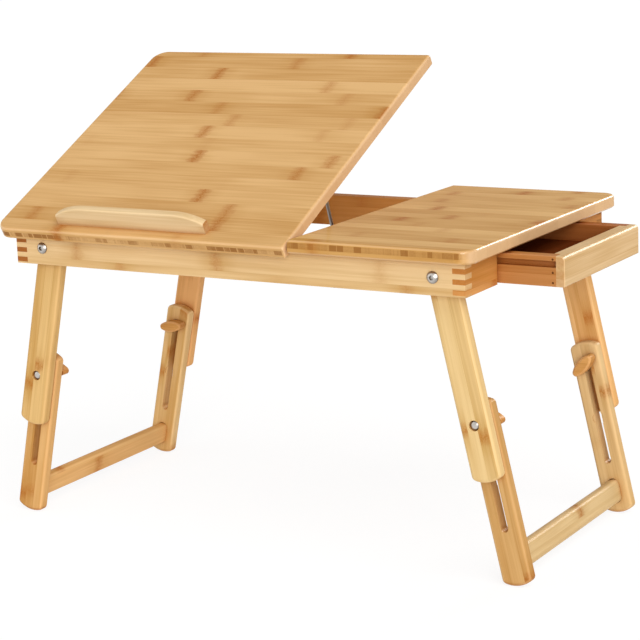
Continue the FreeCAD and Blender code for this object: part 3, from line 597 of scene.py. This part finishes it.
def screw_head(name, seat, outward, size, body, material):
    """Domed head with a driver's cross, standing on seat and riding on a body. size is its
    (radius, rise)."""
    radius, rise = size
    mesh = bmesh.new()
    rings = []
    for share, height in HEAD_PROFILE:
        ring = []
        for side in range(HEAD_SIDES):
            angle = math.tau * side / HEAD_SIDES
            in_cross = side % (HEAD_SIDES // CROSS_ARMS) == 0 and share <= CROSS_REACH
            level = rise * (height - (CROSS_DEPTH if in_cross else 0.0))
            reach = radius * share
            ring.append(mesh.verts.new((reach * math.cos(angle), reach * math.sin(angle), level)))
        rings.append(ring)
    bottom = mesh.verts.new((0, 0, rise * (1.0 - CROSS_DEPTH)))
    for side in range(HEAD_SIDES):
        after = (side + 1) % HEAD_SIDES
        for outer, inner in zip(rings, rings[1:]):
            mesh.faces.new((outer[side], outer[after], inner[after], inner[side]))
        mesh.faces.new((rings[-1][side], rings[-1][after], bottom))
    mesh.faces.new(rings[0][::-1])
    turn = outward.to_track_quat("Z", "Y").to_matrix().to_4x4()
    mesh.transform(Matrix.Translation(seat) @ turn)
    data = bpy.data.meshes.new(name)
    mesh.to_mesh(data)
    mesh.free()
    data.materials.append(material)
    head = bpy.data.objects.new(name, data)
    bpy.context.scene.collection.objects.link(head)
    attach(head, body)


def make_screws(material):
    """Flush screws in the hinge leaves and round-headed ones in the prop's clips."""
    low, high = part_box("frame_hinge_leaves")
    pin = joint_places["panel_tilt"]
    panel_up = AXIS_X.cross(panel_across)
    for hinge, start in (("left", low.x), ("right", high.x - HINGE_LENGTH)):
        for place, (frame_share, panel_share) in enumerate(HINGE_PLACES, 1):
            seat = Vector((start + frame_share * HINGE_LENGTH, pin.y, pin.z))
            seat += HINGE_ROW * AXIS_Y - HINGE_GAP * AXIS_Z
            name = f"{hinge}_frame_leaf_screw_{place}"
            screw_head(name, seat, AXIS_Z, HINGE_HEAD, "frame", material)
            seat = Vector((start + panel_share * HINGE_LENGTH, pin.y, pin.z))
            seat += HINGE_ROW * panel_across + HINGE_GAP * panel_up
            name = f"{hinge}_panel_leaf_screw_{place}"
            screw_head(name, seat, -panel_up, HINGE_HEAD, "panel", material)
    low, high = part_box("prop_clips")
    wire = joint_places["prop_fold"]
    for clip, x in (("left", low.x + CLIP_WIDTH / 2), ("right", high.x - CLIP_WIDTH / 2)):
        for edge, way in (("front", -1), ("back", 1)):
            seat = Vector((x, wire.y, wire.z))
            seat = seat + way * CLIP_ROW * panel_across + CLIP_SEAT * panel_up
            name = f"{clip}_clip_{edge}_screw"
            screw_head(name, seat, -panel_up, CLIP_HEAD, "panel", material)


def paint_metal():
    bright = metal("bolt_steel", STEEL, STEEL_RIM_SHADE, roughness=0.2)
    plain = metal("plain_steel", DULL_STEEL, DULL_STEEL, roughness=0.34)
    brown = metal("drawer_pin_steel", PIN_BROWN, PIN_BROWN, roughness=0.5)
    washer_shaded = metal("washer_steel_shaded", SHADED_WASHER_STEEL, SHADED_WASHER_STEEL, roughness=0.3)
    paint(["pivot_bolts", "pivot_nuts", "left_clamp_bolts", "right_clamp_bolts"], bright)
    paint(["pivot_washers", "left_clamp_washers", "right_clamp_washers"], washer_shaded)
    hinges = ["frame_hinge_leaves", "panel_hinge_leaves", "hinge_pins"]
    paint(hinges + ["wire_prop", "prop_clips"], plain)
    paint(["drawer_pins"], brown)
    make_screws(plain)


# ---------------------------------------------------------------- stage, light and camera
FLOOR_SIZE = 80.0
FLOOR_TONE = (0.88, 0.87, 0.86, 1.0)
CAMERA_WHITE_SHARE = 0.8  # how much of the floor the camera sees as plain white
CAMERA_WHITE_LEVEL = 1.08
WORLD_LEVEL = 0.36
SUN_DISTANCE = 3.0
# Suns: (name, azimuth from the front towards the right, elevation, width, strength)
SUNS = (
    ("front", 34.0, 14.0, 34.0, 1.6),
    ("right", 62.0, 50.0, 40.0, 1.15),
    ("left", -70.0, 30.0, 60.0, 0.35),
    ("back", 169.0, 22.8, 18.0, 0.75),
)


def white_for_camera(graph, level, lit, share):
    """Plain white mixed over what is lit, for camera, glossy and transmission rays alone."""
    path = graph.node("ShaderNodeLightPath")
    seen = graph.math("MAXIMUM", path.outputs["Is Camera Ray"], path.outputs["Is Glossy Ray"])
    seen = graph.math("MAXIMUM", seen, path.outputs["Is Transmission Ray"])
    level.inputs["Color"].default_value = (1, 1, 1, 1)
    mixed = graph.node("ShaderNodeMixShader")
    graph.feed(mixed.inputs["Fac"], graph.math("MULTIPLY", seen, share))
    graph.feed(mixed.inputs[1], lit.outputs[0])
    graph.feed(mixed.inputs[2], level.outputs[0])
    return mixed.outputs[0]


def make_floor():
    bpy.ops.mesh.primitive_plane_add(size=FLOOR_SIZE, location=(0, 0, 0))
    floor = bpy.context.object
    floor.name = "studio_floor"
    material = bpy.data.materials.new("studio_floor_white")
    material.use_nodes = True
    tree = material.node_tree
    tree.nodes.clear()
    graph = Graph(tree)
    diffuse = graph.node("ShaderNodeBsdfDiffuse")
    diffuse.inputs["Color"].default_value = FLOOR_TONE
    white = graph.node("ShaderNodeEmission")
    white.inputs["Strength"].default_value = CAMERA_WHITE_LEVEL
    surface = white_for_camera(graph, white, diffuse, CAMERA_WHITE_SHARE)
    graph.feed(graph.node("ShaderNodeOutputMaterial").inputs["Surface"], surface)
    floor.data.materials.append(material)


def make_world():
    world = bpy.data.worlds.new("studio")
    bpy.context.scene.world = world
    world.use_nodes = True
    tree = world.node_tree
    tree.nodes.clear()
    graph = Graph(tree)
    soft = graph.node("ShaderNodeBackground")
    soft.inputs["Color"].default_value = (1, 1, 1, 1)
    soft.inputs["Strength"].default_value = WORLD_LEVEL
    white = graph.node("ShaderNodeBackground")
    surface = white_for_camera(graph, white, soft, 1.0)
    graph.feed(graph.node("ShaderNodeOutputWorld").inputs["Surface"], surface)


def make_suns():
    for name, azimuth, elevation, width, strength in SUNS:
        lamp = bpy.data.lights.new(name, "SUN")
        lamp.energy = strength
        lamp.angle = math.radians(width)
        towards = direction(math.radians(azimuth), math.radians(elevation))
        holder = bpy.data.objects.new(name, lamp)
        holder.location = towards * SUN_DISTANCE
        holder.rotation_euler = (-towards).to_track_quat("-Z", "Y").to_euler()
        bpy.context.scene.collection.objects.link(holder)


def make_camera():
    angles = (CAMERA_AZIMUTH, CAMERA_ELEVATION, CAMERA_ROLL)
    azimuth, elevation, roll = (math.radians(angle) for angle in angles)
    back = direction(azimuth, elevation)
    level_right = AXIS_Z.cross(back).normalized()
    level_up = back.cross(level_right)
    right = math.cos(roll) * level_right + math.sin(roll) * level_up
    up = math.cos(roll) * level_up - math.sin(roll) * level_right
    data = bpy.data.cameras.new("product_view")
    data.lens = CAMERA_LENS
    data.sensor_width = CAMERA_SENSOR
    data.clip_end = CAMERA_REACH
    camera = bpy.data.objects.new("product_view", data)
    turn = Matrix((right, up, back)).transposed().to_4x4()
    camera.matrix_world = Matrix.Translation(CAMERA_PLACE) @ turn
    bpy.context.scene.collection.objects.link(camera)
    bpy.context.scene.camera = camera


make_camera()
make_floor()
make_world()
make_suns()
paint_boards()
paint_frame()
paint_legs()
paint_drawer()
paint_metal()
bpy.context.scene.view_settings.view_transform = "Standard"
